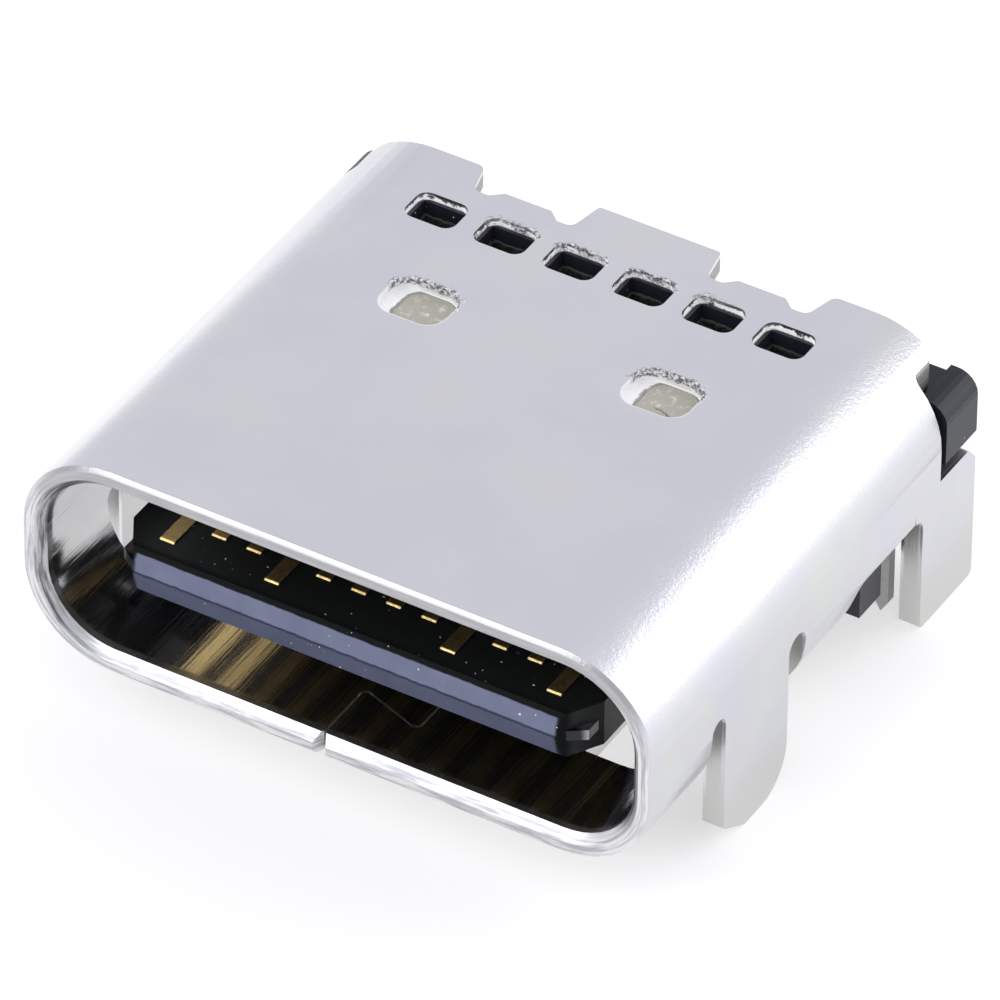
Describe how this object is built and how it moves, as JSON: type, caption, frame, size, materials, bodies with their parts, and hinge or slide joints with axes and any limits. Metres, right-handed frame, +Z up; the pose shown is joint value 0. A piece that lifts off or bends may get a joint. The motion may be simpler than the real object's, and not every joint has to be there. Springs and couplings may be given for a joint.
{
  "type": "usb-c socket",
  "caption": "Board-mounted USB-C receptacle: a folded metal shell on through-board legs around a moulded tongue with contacts on both faces.",
  "frame": {"origin": "on the shell's flat bottom, which sits on the board, at the middle of the mouth's edge", "axes": "+X across the mouth, +Y from the mouth to the rear, +Z up from the board"},
  "size_m": [0.009, 0.0086, 0.0039],
  "materials": {
    "shell_metal": "satin nickel over folded stainless sheet, with bright sheared edges",
    "housing_plastic": "black moulded liquid-crystal polymer with a violet-grey sheen",
    "insert_plastic": "black moulded liquid-crystal polymer",
    "contact_metal": "copper alloy, gold-plated on the tongue and tinned at the tails",
    "plate_metal": "stamped stainless sheet with matte tinned legs",
    "pad_metal": "stamped nickel-plated sheet"
  },
  "bodies": {
    "root": {"shell": "shell_metal", "housing": "housing_plastic", "upper_wafer": "insert_plastic", "lower_wafer": "insert_plastic", "mid_plate": "plate_metal", "upper_ground_pad": "pad_metal", "lower_ground_pad": "pad_metal", "contact_a1": "contact_metal", "contact_a2": "contact_metal", "contact_a3": "contact_metal", "contact_a4": "contact_metal", "contact_a5": "contact_metal", "contact_a6": "contact_metal", "contact_a7": "contact_metal", "contact_a8": "contact_metal", "contact_a9": "contact_metal", "contact_a10": "contact_metal", "contact_a11": "contact_metal", "contact_a12": "contact_metal", "contact_b1": "contact_metal", "contact_b2": "contact_metal", "contact_b3": "contact_metal", "contact_b4": "contact_metal", "contact_b5": "contact_metal", "contact_b6": "contact_metal", "contact_b7": "contact_metal", "contact_b8": "contact_metal", "contact_b9": "contact_metal", "contact_b10": "contact_metal", "contact_b11": "contact_metal", "contact_b12": "contact_metal"}
  },
  "joints": []
}
